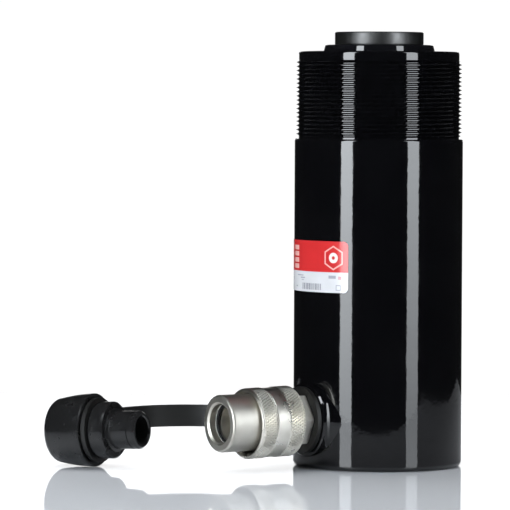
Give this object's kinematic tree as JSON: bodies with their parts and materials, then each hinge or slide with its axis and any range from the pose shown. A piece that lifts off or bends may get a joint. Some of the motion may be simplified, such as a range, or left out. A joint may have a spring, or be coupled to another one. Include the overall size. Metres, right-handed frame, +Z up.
{
  "type": "hydraulic cylinder",
  "caption": "Black single-acting hydraulic cylinder with collar thread, stop ring, saddle, knurled quick coupler and a dust cap on a strap.",
  "frame": {"origin": "centre of the flat base, on the plunger's axis", "axes": "+Z up along the plunger; the coupler points along -X; the dust cap and its strap lie on the +Y side"},
  "size_m": [0.1953, 0.1287, 0.2182],
  "materials": {
    "black_gloss_paint": "gloss",
    "black_gloss_paint_ring": "gloss",
    "dark_phosphated_steel": "satin",
    "ground_steel": "ground",
    "machined_steel": "machined",
    "spring_steel": "satin",
    "nickel_plate": "satin nickel plate",
    "nickel_plate_turned": "turned nickel plate",
    "nickel_plate_knurled": "knurled nickel plate",
    "bearing_bronze": "satin",
    "black_rubber": "matte",
    "polyurethane_seal": "satin",
    "white_ptfe": "matte",
    "printed_label": "printed film",
    "black_soft_plastic": "satin",
    "black_moulded_plastic": "satin moulded"
  },
  "bodies": {
    "cylinder": {"cylinder_body": "black_gloss_paint", "stop_ring": "black_gloss_paint_ring", "wiper_ring": "black_rubber", "label": "printed_label", "base_spring_anchor": "machined_steel", "return_spring": "spring_steel", "coupler_adapter": "nickel_plate", "coupler_nozzle": "nickel_plate_turned", "socket_seal": "black_rubber", "socket_back_up_ring": "white_ptfe", "valve_guide": "machined_steel", "poppet_spring": "spring_steel"},
    "plunger": {"plunger": "ground_steel", "piston_seal": "polyurethane_seal", "piston_back_up_ring": "white_ptfe", "piston_bearing": "bearing_bronze", "plunger_spring_anchor": "machined_steel", "saddle_retainer": "black_rubber"},
    "saddle": {"saddle": "dark_phosphated_steel"},
    "sleeve_carrier": {"sleeve_stop_ring": "spring_steel"},
    "sleeve": {"coupler_sleeve": "nickel_plate_knurled"},
    "poppet": {"poppet": "nickel_plate_turned", "poppet_seal": "black_rubber"},
    "strap": {"dust_cap_strap": "black_soft_plastic"},
    "cap": {"dust_cap": "black_moulded_plastic"}
  },
  "joints": [
    {"name": "plunger_slide", "type": "slide", "parent": "cylinder", "child": "plunger", "axis": [0, 0, 1], "range_m": [0, 0.102], "stiffness_N_per_m": 900, "springref_m": -0.11, "deforming": ["return_spring"]},
    {"name": "saddle_spin", "type": "hinge", "parent": "plunger", "child": "saddle", "pos_m": [0, 0, 0.2117], "axis": [0, 0, 1], "continuous": true},
    {"name": "sleeve_slide", "type": "slide", "parent": "cylinder", "child": "sleeve_carrier", "axis": [-1, 0, 0], "range_m": [0, 0.012]},
    {"name": "sleeve_spin", "type": "hinge", "parent": "sleeve_carrier", "child": "sleeve", "pos_m": [-0.0667, 0, 0.0245], "axis": [-1, 0, 0], "continuous": true},
    {"name": "poppet_slide", "type": "slide", "parent": "cylinder", "child": "poppet", "axis": [1, 0, 0], "range_m": [0, 0.004], "stiffness_N_per_m": 500, "springref_m": -0.004, "deforming": ["poppet_spring"]},
    {"name": "strap_swivel", "type": "hinge", "parent": "cylinder", "child": "strap", "pos_m": [-0.0458, 0, 0.0245], "axis": [1, 0, 0], "range_deg": [0, 190]},
    {"name": "cap_spin", "type": "hinge", "parent": "strap", "child": "cap", "pos_m": [-0.12925, 0.0603, 0.01842], "axis": [0.4888, -0.8711, 0.0471], "continuous": true}
  ]
}
